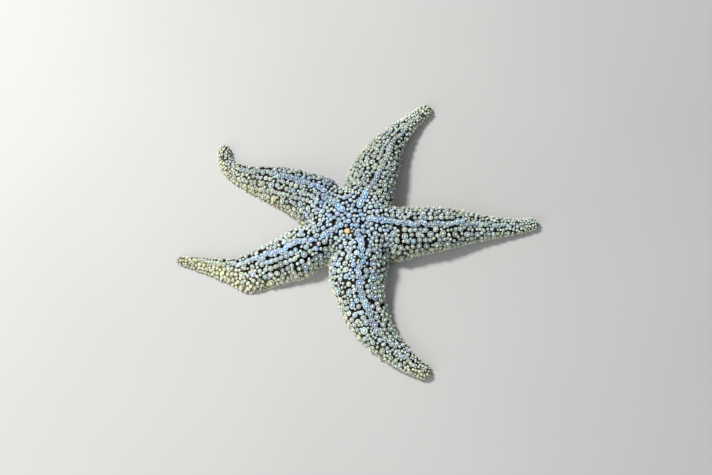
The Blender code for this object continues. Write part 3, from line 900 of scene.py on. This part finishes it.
def beadwork_group():
    """Colours a turned shape by its zone, 0 at the foot to 1 at the tip, in blue, grey-green or cream."""
    group, inward, outward = new_group("beadwork_colour", BEADWORK_INPUTS, "Color", "NodeSocketColor")
    zone, blue, cream, seed, tone = (inward[name] for name in BEADWORK_INPUTS)
    # Each ramp paints the foot nearly black, as painted shade where the shape meets the skin. It paints the
    # top white, partly the spine's own pale tip and partly a painted highlight. The rings between are the
    # shape's own colours.
    blues = ramp(group, zone, (
        (0.04, (0.006, 0.008, 0.018)), (0.16, (0.04, 0.07, 0.14)), (0.27, (0.28, 0.43, 0.62)),
        (0.42, (0.43, 0.62, 0.80)), (0.53, (0.09, 0.21, 0.46)), (0.64, (0.16, 0.31, 0.56)),
        (0.74, (0.74, 0.86, 0.95)), (1.00, (0.96, 0.98, 1.00)),
    ))  # fmt: skip
    greens = ramp(group, zone, (
        (0.04, (0.007, 0.007, 0.004)), (0.16, (0.050, 0.055, 0.036)), (0.28, (0.41, 0.46, 0.38)),
        (0.42, (0.60, 0.67, 0.57)), (0.54, (0.32, 0.39, 0.34)), (0.65, (0.42, 0.49, 0.43)),
        (0.76, (0.84, 0.90, 0.82)), (1.00, (0.99, 1.00, 0.95)),
    ))  # fmt: skip
    creams = ramp(group, zone, (
        (0.00, (0.04, 0.03, 0.010)), (0.12, (0.20, 0.17, 0.07)), (0.28, (0.66, 0.68, 0.48)),
        (0.44, (0.75, 0.78, 0.60)), (0.56, (0.44, 0.44, 0.28)), (0.77, (0.94, 0.95, 0.78)),
        (1.00, (1.00, 0.99, 0.90)),
    ))  # fmt: skip
    dress = mix(group, spread(group, blue, 0.08, 0.85), greens, blues)
    dress = mix(group, spread(group, cream, 0.30, 0.95), dress, creams)
    tint = ramp(group, maths(group, "FRACT", maths(group, "MULTIPLY", seed, 13.7)), (
        (0.00, (0.90, 1.00, 0.93)), (0.20, (1.00, 0.98, 0.96)), (0.38, (0.86, 0.96, 1.00)),
        (0.54, (1.00, 1.00, 0.86)), (0.72, (1.00, 0.99, 1.00)), (0.88, (0.95, 0.91, 1.00)),
        (1.00, (1.00, 0.91, 0.92)),
    ))  # fmt: skip
    tinted = mix(group, 1.0, dress, tint, "MULTIPLY")
    shade = ramp(group, noise(group, 900), ((0.30, 0.72), (0.68, 1.0)))
    worn = mix(group, 0.6, tinted, shade, "MULTIPLY")
    value = spread(group, maths(group, "FRACT", maths(group, "MULTIPLY", seed, 7.3)), 0, 1, 0.68, 1.10)
    value = maths(group, "MULTIPLY", value, tone)
    final = group.nodes.new("ShaderNodeHueSaturation")
    group.links.new(worn, final.inputs["Color"])
    group.links.new(value, final.inputs["Value"])
    group.links.new(final.outputs["Color"], outward)
    return group


def grain_group():
    """Fine and coarse unevenness of living skin, as one height."""
    group, inward, outward = new_group("skin_grain", ("Coarse",), "Height", "NodeSocketFloat")
    fine, coarse = noise(group, 3200, 2.0), noise(group, 900, 3.0)
    group.links.new(maths(group, "MULTIPLY_ADD", coarse, inward["Coarse"], fine), outward)
    return group


beadwork = beadwork_group()
grain = grain_group()
WET_ROUGHNESS = 0.12


def add_grain(tree, shader, coarse, depth):
    node = tree.nodes.new("ShaderNodeGroup")
    node.node_tree = grain
    node.inputs["Coarse"].default_value = coarse
    bump(tree, shader, node.outputs["Height"], depth)


def coat_material(name, roughness, wet, grain_depth):
    """Spines, wreaths and beads: limy and fleshy, damp on top."""
    made, tree, shader = new_material(name)
    node = tree.nodes.new("ShaderNodeGroup")
    node.node_tree = beadwork
    for socket in BEADWORK_INPUTS:
        tree.links.new(field(tree, socket.lower()), node.inputs[socket])
    tree.links.new(node.outputs["Color"], shader.inputs["Base Color"])
    uneven_roughness(tree, shader, 500, roughness * 0.75, roughness * 1.3)
    set_inputs(shader, {"Coat Weight": wet, "Coat Roughness": WET_ROUGHNESS, "Subsurface Weight": 0.12})
    set_inputs(shader, {"Subsurface Radius": (0.0010, 0.0009, 0.0008), "Subsurface Scale": 1.0})
    add_grain(tree, shader, 0.6, grain_depth)
    return made


def skin_material():
    """The soft skin between the spines: nearly black with brown patches, olive to cream lower down. Its near
    black is partly its own dark colour and partly painted shade between the spines.
    """
    made, tree, shader = new_material("wet_skin")
    ridge = field(tree, "ridge")
    patches = noise(tree, 170, 4.0, 0.6, 0.4)
    # The near-black stops are partly painted shade in the gaps between the spines.
    dark = ramp(tree, patches, (
        (0.30, (0.0010, 0.0012, 0.0015)), (0.46, (0.0030, 0.0025, 0.0020)), (0.60, (0.028, 0.014, 0.006)),
        (0.72, (0.006, 0.003, 0.006)),
    ))  # fmt: skip
    tan = ramp(tree, noise(tree, 300, 3.0), ((0.31, (0.060, 0.044, 0.014)), (0.62, (0.46, 0.41, 0.24))))
    # Where the cream field is high the skin turns tan; this includes the painted light on the -Y flanks.
    dark = mix(tree, spread(tree, field(tree, "cream"), 0.35, 0.9), dark, tan)
    low = ramp(tree, noise(tree, 420, 3.0), ((0.35, (0.09, 0.075, 0.040)), (0.65, (0.30, 0.25, 0.15))))
    under = ramp(tree, noise(tree, 260, 3.0), ((0.35, (0.36, 0.27, 0.17)), (0.68, (0.56, 0.46, 0.30))))
    colour = mix(tree, spread(tree, ridge, 0.70, 1.05), dark, low)
    colour = mix(tree, spread(tree, ridge, 1.05, 1.30), colour, under)
    tree.links.new(colour, shader.inputs["Base Color"])
    uneven_roughness(tree, shader, 700, 0.38, 0.65)
    shader.inputs["Specular IOR Level"].default_value = 0.07
    add_grain(tree, shader, 1.2, 0.00025)
    return made


def plain_material(name, stops, roughness, wet, scale, by_zone=False):
    """A damp material whose colour runs through these stops, by noise or by zone."""
    made, tree, shader = new_material(name)
    marks = noise(tree, scale, 4.0, 0.6)
    if by_zone:
        marks = maths(tree, "MULTIPLY_ADD", marks, 0.22, maths(tree, "SUBTRACT", field(tree, "zone"), 0.11))
    tree.links.new(ramp(tree, marks, stops), shader.inputs["Base Color"])
    uneven_roughness(tree, shader, 800, roughness * 0.7, roughness * 1.3)
    set_inputs(shader, {"Coat Weight": wet, "Coat Roughness": WET_ROUGHNESS})
    add_grain(tree, shader, 0.8, 0.0001)
    return made


spine_coat = coat_material("spine_and_wreath", 0.42, 0.25, 0.00007)
bead_coat = coat_material("small_beads", 0.45, 0.2, 0.00005)
fringe_coat = coat_material("fringe_spines", 0.5, 0.15, 0.00004)
foot_flesh = plain_material("tube_foot_flesh", (
    (0.05, (0.50, 0.38, 0.20)), (0.55, (0.66, 0.54, 0.33)), (0.80, (0.74, 0.64, 0.46)),
    (0.95, (0.60, 0.45, 0.26)),
), 0.3, 0.4, 600, by_zone=True)  # fmt: skip
lip_flesh = plain_material("mouth_lip_flesh", (
    (0.30, (0.36, 0.24, 0.17)), (0.50, (0.52, 0.38, 0.27)), (0.70, (0.66, 0.52, 0.39)),
), 0.32, 0.4, 500)  # fmt: skip
sieve_lime = plain_material("madreporite_lime", (
    (0.10, (0.42, 0.17, 0.04)), (0.40, (0.80, 0.42, 0.14)), (0.75, (0.96, 0.66, 0.32)),
    (1.00, (1.00, 0.80, 0.52)),
), 0.5, 0.1, 900, by_zone=True)  # fmt: skip

# ---- the animal

skin = make_skin(skin_material())
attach(skin, "root")
flesh = [f"arm_{number + 1}_{length}" for number in range(ARM_COUNT) for length in ("inner", "outer")]
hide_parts("disc", *flesh)
ground = Ground(skin)
crowd = Crowd()


def upper_height(roots, widths, share):
    """Height of a thing of this width whose kind, at full width, reaches this share of the coat's depth."""
    full = SPINE_LENGTH * roots.coat + SKIN_DEPTH
    return np.minimum(full * share, widths * share * (0.76 - 0.16 * roots.coat))


def make_madreporite():
    """A domed limy plate with fine meandering furrows, between two arms."""
    low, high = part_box("madreporite")
    seat = ground.nearest([(low + high) / 2])
    bands, sides = 22, 96
    turn = np.arange(sides) * math.tau / sides
    share = np.linspace(1, 0, bands + 1)[:-1, None]
    furrow = np.cos(turn * 15 + 2.2 * np.sin(share * 9) + 1.5 * np.sin(turn * 3)) * ease(share / 0.35)
    edge = 1 + 0.05 * np.sin(turn * 3 + 1) + 0.03 * np.sin(turn * 7)
    dome = PLATE_HEIGHT * np.sqrt(np.clip(1 - (share * 0.98) ** 2.4, 0, 1))
    dome = dome + FURROW_DEPTH * furrow * ease((1 - share) / 0.12)
    radius = PLATE_RADIUS * share * edge
    points = np.stack([radius * np.cos(turn), radius * np.sin(turn), dome], -1)
    foot = points[:1] * (0.96, 0.96, 0) - (0, 0, 0.0006)
    points = np.vstack([np.concatenate([foot, points]).reshape(-1, 3), (0, 0, PLATE_HEIGHT)])
    # Painted shade: the plate's foot and the bottoms of its furrows take low zones and are painted darker;
    # the ridges between take high zones and are painted lighter.
    zone = np.concatenate([np.zeros(sides), (0.62 + 0.30 * furrow).ravel(), [0.8]])
    up = seat.normal[0]
    side = unit(np.cross(up, (0.3, 0.9, 0.1)))
    points = seat.spot[0] + up * 0.0002 + points @ np.stack([side, np.cross(up, side), up])
    plate = write_mesh("sieve_plate", points, *turned_faces(bands, sides), {"zone": zone})
    plate.data.materials.append(sieve_lime)
    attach(plate, "root")
    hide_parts("madreporite")
    crowd.settle(seat, [PLATE_RADIUS * 1.02])


def settle(roots, widths, kind):
    """The roots that find room, with their widths and how blue they are."""
    free = crowd.settle(roots, widths / 2, kind.closeness)
    return roots.pick(free), widths[free], kind.bluest


def plant(roots, kind, power=SMALL_POWER):
    """Grows things of this kind on these roots, smaller where the arm is thin."""
    widths = chance.uniform(kind.least, kind.greatest, len(roots))
    widths = widths * slimming(roots.reach, roots.coat) ** power * own_size(roots.arm, roots.reach)
    return settle(roots, widths, kind)


def plant_crests():
    """A braid of spines in wreaths along each crest."""
    return plant(join([ground.nearest(line) for line in crest_lines]), CREST, 1)


def plant_braids():
    """Small spines in the notches on both sides of a crest's wreaths."""
    spots = []
    for line in crest_lines:
        across, middles = np.cross(np.diff(line, axis=0), (0, 0, 1)), (line[1:] + line[:-1]) / 2
        for side in (1, -1):
            out = side * chance.uniform(*NOTCHES, (len(middles), 1))
            spots.append((middles + out * across)[chance.random(len(middles)) < NOTCH_SHARE])
    return plant(ground.nearest(np.concatenate(spots)), BRAID, 1)


def plant_flanks(rows, step, kind, share=1.0, end=2.0):
    """Rows of wreaths along the flanks, a share of them, up to a reach."""
    sides = [(index, row, side) for index in range(ARM_COUNT) for row in rows for side in (1, -1)]
    roots = ground.nearest([spot for place in sides for spot in flank_spots(*place, step)])
    kept = (roots.ridge < 1.02) & (roots.reach < end) & (chance.random(len(roots)) < share)
    return plant(roots.pick(kept), kind)


def plant_tips():
    """Small spines packed over the rounded tips."""
    roots = ground.scatter(TIP_TRIES, 0.0, 1.0)
    roots = roots.pick(roots.reach > TIP_FROM)
    widths = chance.uniform(TIP.least, TIP.greatest, len(roots))
    return settle(roots, widths + TIP_EXTRA * ease((0.93 - roots.reach) / 0.07), TIP)


def plant_disc():
    """A mosaic of middling wreaths over the disc."""
    roots = ground.scatter(DISC_TRIES, 0.0, 0.95)
    return plant(roots.pick(roots.reach < DISC_REACH + 0.01), MOSAIC)


def grow(name, shapes, kinds, material, high, lean=0.1):
    """Stamps shapes on roots, given as (roots, widths, how blue), into one mesh for each arm."""
    for index in range(ARM_COUNT):
        growth = Growth()
        for roots, widths, bluest in kinds:
            mine = roots.arm == index
            if mine.any():
                own, wide = roots.pick(mine), widths[mine]
                growth.stamp(shapes, own, wide, upper_height(own, wide, high), lean, **markings(own, bluest))
        growth.finish(f"{name}_{index + 1}", material, "spiny_skin")


def fill(count, kind, ridge_from=0.0):
    """Things of this kind wherever there is room, the widest first."""
    roots = ground.scatter(count, ridge_from, LAST_RIDGE)
    shares = np.sort(chance.random(count))[::-1]
    widths = kind.least + (kind.greatest - kind.least) * shares
    return settle(roots, widths * slimming(roots.reach, roots.coat) ** SMALL_POWER, kind)


def leave_patches():
    """Takes larger bare patches on both sides of each crest, on the disc and near the arm's root."""
    spots = []
    for line in crest_lines:
        for step, side in BARE_PATCHES:
            outward = unit(np.cross(line[step + 1] - line[step], (0, 0, 1)))
            spots.append(line[step] + side * PATCH_OFFSET * outward)
    crowd.keep_clear(ground.nearest(np.array(spots)).spot, np.full(len(spots), PATCH_RADIUS))


def leave_bare():
    """Takes places where nothing grows, so that dark skin shows between the spines and beside the crests."""
    roots, widths = crests[:2]
    channel = np.array(CHANNELS)[roots.arm] * (1 - 0.6 * ease(roots.reach, 0.45, 0.3))
    crowd.keep_clear(roots.spot, widths / 2 + 1.5 * channel)
    roots = ground.scatter(GAP_TRIES, 0.05, 0.85)
    free = Crowd().settle(roots, np.full(len(roots), GAP_SPACING / 2))
    inner = 1 - ease(roots.reach, 0.3, 0.3)
    kept = free & (roots.reach < 0.85) & (chance.random(len(roots)) < 0.4 + 0.3 * inner)
    crowd.settle(roots.pick(kept), chance.uniform(*GAP_RADII, kept.sum()) + 0.0001 * inner[kept])


# The larger things come first, and each takes its room from those that follow.
make_madreporite()
crest_lines = [crest_spots(index) for index in range(ARM_COUNT)]
leave_patches()
crests = plant_crests()
braids = plant_braids()
eyes = plant_flanks(EYE_ROWS, EYE_STEP, EYE, EYE_SHARE, EYE_END)
tips = plant_tips()
middling = plant_flanks(FLANK_ROWS, MIDDLING_STEP, MIDDLING)
mosaic = plant_disc()
leave_bare()
grow("spines", spine_shapes, [crests, eyes], spine_coat, 1.0)
grow("young_spines", young_shapes, [braids, middling, tips, mosaic], spine_coat, 0.95)
grow("beads", bead_shapes, [fill(BEAD_TRIES, BEAD)], bead_coat, 1.15)
grow("specks", speck_shapes, [fill(SPECK_TRIES, SPECK, 0.5)], bead_coat, 1.3, 0.3)


# The two sorts of marginal spine: how many are tried, between which ridge numbers, width, closeness, length,
# and how hard they are turned outward and down.
FRINGE = (
    (9000, 1.03, 1.18, 0.00135, 1.0, 0.0021, (0.9, 0.2)),
    (26000, 1.18, 2.02, 0.0012, 1.05, 0.0011, None),
)


def plant_margins():
    """Small pale spines where the flanks turn under, and short ones on the flats they lie on."""
    sorts = []
    for count, low, high, width, closeness, length, push in FRINGE:
        roots = ground.scatter(count, low, high)
        widths = width * slimming(roots.reach, roots.coat)
        free = crowd.settle(roots, widths / 2, closeness)
        sorts.append((roots.pick(free), widths[free], length, push))
    for index in range(ARM_COUNT):
        growth = Growth()
        for roots, widths, length, push in sorts:
            mine = roots.arm == index
            own = roots.pick(mine)
            lengths = length * slimming(own.reach, own.coat) * chance.uniform(0.85, 1.1, len(own))
            toward = push and unit(own.normal * (1, 1, 0)) * push[0] - np.array([0, 0, push[1]])
            same = dict(blue=np.zeros(len(own)), cream=np.array(FRINGE_CREAM)[own.arm])
            growth.stamp(peg_shapes, own, widths[mine], lengths, 0.12, toward, **markings(own, 0.0) | same)
        growth.finish(f"fringe_{index + 1}", fringe_coat, "spiny_skin")


FOOT_STEP, FOOT_WIDTH, FOOT_CLEARANCE, SHORTEST_FOOT = 0.0021, 0.0016, 0.0005, 0.0012
FULL_HALF_WIDTH = 0.016  # of the arm, where the feet stand at their full step
FEET_FROM, FEET_TO = -0.165, 0.93  # shares of the arm
LANES = (-0.78, -0.28, 0.28, 0.78)  # shares of the groove's half width


def plant_feet(index):
    """Four staggered rows of tube feet, hanging from the roof of an arm's groove to just above the floor."""
    arm, spots = arms[index], []
    share, odd = FEET_FROM, False
    while share < FEET_TO:
        body = np.array([max(share, 0)])
        half_width = arm.half_width(body)[0]
        step = FOOT_STEP * np.clip(half_width / FULL_HALF_WIDTH, 0.4, 1)
        inner = GROOVE_TOP_SHARE * GROOVE_WIDTH_SHARE * half_width
        roof = GROOVE_HEIGHT_SHARE * arm.height(body)
        for lane in LANES:
            ahead = step * (0.5 if (abs(lane) > 0.5) == odd else 0) / arm.length
            spots.append(arm.place(np.array([share + ahead]), np.array([lane * inner]), roof)[0])
        share += step / arm.length
        odd = not odd
    spots = np.array(spots)
    spots = spots[spots[:, 2] - FOOT_CLEARANCE > SHORTEST_FOOT]
    lengths = spots[:, 2] - FOOT_CLEARANCE
    roots = Roots(spot=spots, normal=np.tile((0.0, 0.0, -1.0), (len(spots), 1)), uv=spots[:, :2] * 2 + 0.5)
    growth = Growth()
    widths = FOOT_WIDTH * np.clip(lengths / 0.006, 0.35, 1) * chance.uniform(0.85, 1.1, len(roots))
    growth.stamp(foot_shapes, roots, widths, lengths * chance.uniform(0.86, 1.0, len(roots)), 0.12)
    feet = growth.finish(f"feet_{index + 1}", foot_flesh, "tube_feet")
    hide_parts(f"tube_feet_{index + 1}")


def make_mouth():
    """A soft puckered lip round the mouth."""
    low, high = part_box("mouth")
    lip = (high.z - low.z) / 2
    major = (high.x - low.x) / 2 - lip
    around, across = 120, 24
    a = np.arange(around)[:, None] * math.tau / around
    b = np.arange(across)[None, :] * math.tau / across
    pucker = 1 + 0.10 * np.cos(a * 15 + 1.2 * np.sin(a * 4)) * np.clip(-np.cos(b) + 0.5, 0, 1.2)
    radius = major + lip * np.cos(b) * pucker
    height = (low.z + high.z) / 2 + lip * np.sin(b) * pucker
    points = np.stack([CENTRE[0] + radius * np.cos(a), CENTRE[1] + radius * np.sin(a), height], -1)
    numbers = np.arange(around * across).reshape(around, across)
    right, up = np.roll(numbers, -1, 0), np.roll(numbers, -1, 1)
    quads = np.stack([numbers, right, np.roll(right, -1, 1), up], -1).reshape(-1, 4)
    mouth = write_mesh("mouth_lip", points.reshape(-1, 3), quads.ravel(), np.full(len(quads), 4), {})
    mouth.data.materials.append(lip_flesh)
    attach(mouth, "root")
    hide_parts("mouth")


plant_margins()
for number in range(ARM_COUNT):
    plant_feet(number)
make_mouth()

# ---- floor, light and camera


def make_floor():
    bpy.ops.mesh.primitive_plane_add(size=4)
    floor = bpy.context.active_object
    floor.name = "pale_floor"
    made, tree, shader = new_material("pale_floor")
    tree.links.new(ramp(tree, noise(tree, 3, 2.0), ((0.3, 0.43), (0.7, 0.46))), shader.inputs["Base Color"])
    shader.inputs["Roughness"].default_value = 0.7
    floor.data.materials.append(made)


def add_light(name, place, aim, size, watts, colour=(1, 1, 1)):
    data = bpy.data.lights.new(name, "AREA")
    data.size, data.energy, data.color = size, watts, colour
    made = new_object(name, data)
    made.location = place
    made.rotation_euler = (Vector(aim) - Vector(place)).to_track_quat("-Z", "Y").to_euler()


def light_studio():
    middle = (CENTRE[0], CENTRE[1], 0.01)
    add_light("key_softbox", (-0.86, 0.56, 1.25), middle, 0.28, 33, (1.0, 0.985, 0.95))
    add_light("fill_softbox", (-0.8, -1.0, 0.7), middle, 1.0, 10, (1.0, 0.99, 0.96))
    world = bpy.data.worlds.new("studio")
    world.use_nodes = True
    background = world.node_tree.nodes["Background"]
    set_inputs(background, {"Color": (0.94, 0.97, 1.0, 1), "Strength": 0.34})
    bpy.context.scene.world = world
    bpy.context.scene.view_settings.view_transform = "Standard"


CAMERA_SLOPE, CAMERA_DISTANCE = math.radians(62), 1.009
AIM = Vector((CENTRE[0] + 0.00332, CENTRE[1] - 0.00101, 0))


def make_camera():
    data = bpy.data.cameras.new("camera")
    data.lens, data.sensor_width, data.clip_start = 60, 36, 0.01
    camera = new_object("camera", data)
    back = Vector((0, -math.cos(CAMERA_SLOPE), math.sin(CAMERA_SLOPE)))
    camera.location = AIM + back * CAMERA_DISTANCE
    camera.rotation_euler = (math.pi / 2 - CAMERA_SLOPE, 0, 0)
    bpy.context.scene.camera = camera


make_floor()
light_studio()
make_camera()
